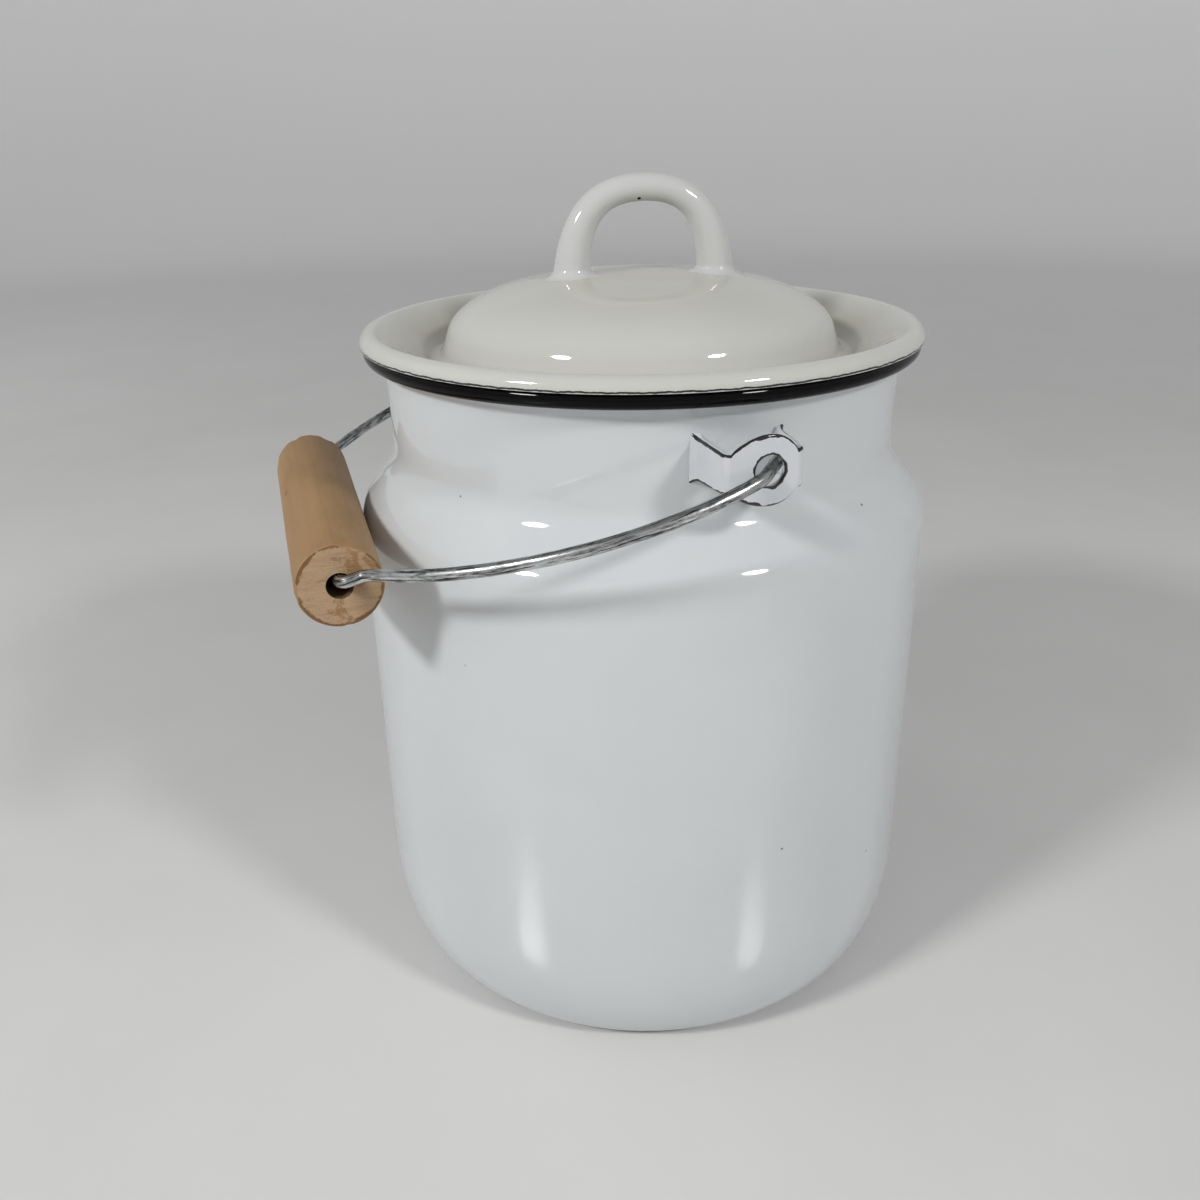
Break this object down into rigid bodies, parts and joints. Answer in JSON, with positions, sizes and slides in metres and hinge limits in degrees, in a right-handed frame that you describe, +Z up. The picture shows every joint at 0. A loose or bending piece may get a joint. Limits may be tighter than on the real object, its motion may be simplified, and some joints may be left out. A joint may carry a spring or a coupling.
{
  "type": "lidded milk can",
  "caption": "White enamelled milk can with a loose inset lid, tube loop handle, black rolled mouth bead, bridge ears and a swinging wire bail with a turned wooden grip.",
  "frame": {"origin": "middle of the flat base, on the floor the can stands on", "axes": "+Z up along the can's axis; X through the two ears, +X towards ear_right; the bail at rest lies towards -Y"},
  "size_m": [0.1808, 0.1808, 0.2256],
  "materials": {
    "body_enamel": "glossy white vitreous enamel, black on the rolled mouth bead",
    "ear_enamel": "glossy white vitreous enamel with dark worn edges",
    "lid_enamel": "glossy warm white vitreous enamel with a thin black cut edge",
    "handle_enamel": "glossy warm white vitreous enamel",
    "galvanised_wire": "drawn galvanised wire, dull and streaked",
    "beech": "bare turned beech, worn"
  },
  "bodies": {
    "can": {"can_body": "body_enamel", "ear_right": "ear_enamel", "ear_left": "ear_enamel"},
    "lid": {"lid_shell": "lid_enamel", "lid_handle": "handle_enamel"},
    "bail": {"bail_wire": "galvanised_wire"},
    "grip": {"bail_grip": "beech"}
  },
  "joints": [
    {"name": "lid_lift", "type": "slide", "parent": "can", "child": "lid", "axis": [0, 0, 1], "range_m": [0, 0.06]},
    {"name": "bail_swing", "type": "hinge", "parent": "can", "child": "bail", "pos_m": [0, 0.0014, 0.16807], "axis": [-1, 0, 0], "range_deg": [0, 217.7]},
    {"name": "grip_spin", "type": "hinge", "parent": "bail", "child": "grip", "pos_m": [0, -0.09035, 0.14085], "axis": [1, 0, 0], "continuous": true}
  ]
}
